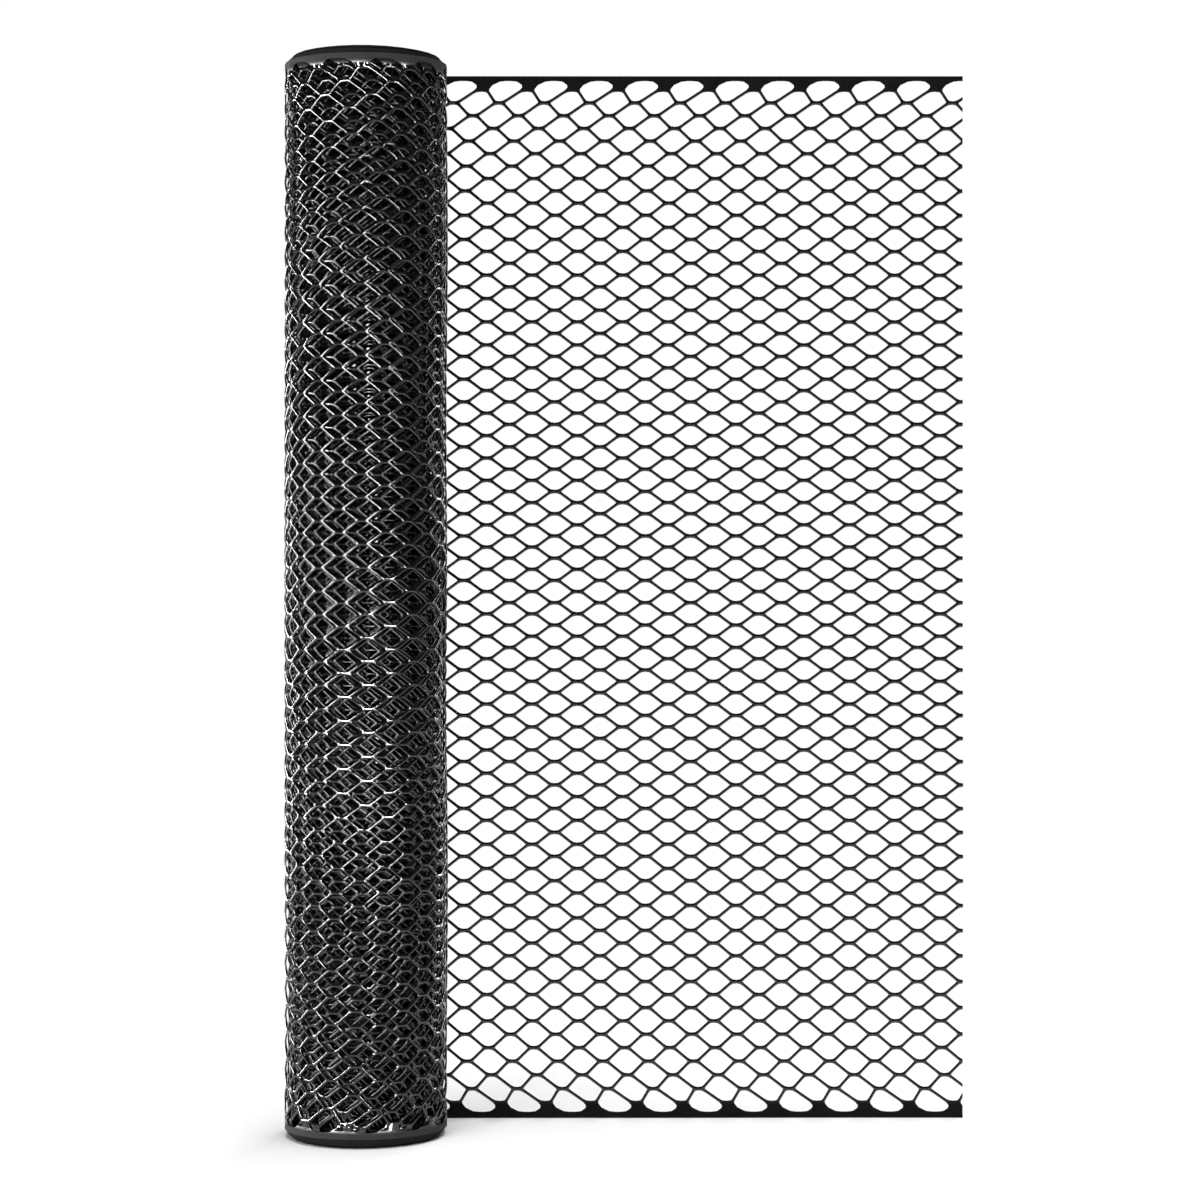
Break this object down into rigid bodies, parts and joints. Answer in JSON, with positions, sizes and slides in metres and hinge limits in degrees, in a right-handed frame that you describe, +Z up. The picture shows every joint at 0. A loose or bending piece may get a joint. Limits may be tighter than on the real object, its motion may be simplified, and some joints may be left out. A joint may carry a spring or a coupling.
{
  "type": "roll of plastic chicken wire",
  "caption": "Upright roll of black hexagonal plastic netting with solid selvedges, wound on an open bore, its free end drawn out flat to one side.",
  "frame": {"origin": "On the axis of the roll's bore, at the floor that the roll stands on.", "axes": "+Z up the roll's axis, +X the way the flat free end is drawn out, +Y to the back of the roll, where the free end leaves it."},
  "size_m": [0.5868, 0.1391, 0.9144],
  "materials": {
    "black_plastic": "satin black moulded polyethylene"
  },
  "bodies": {
    "root": {"roll": "black_plastic", "leaf_near_roll": "black_plastic", "leaf_middle": "black_plastic", "leaf_free_end": "black_plastic"}
  },
  "joints": []
}
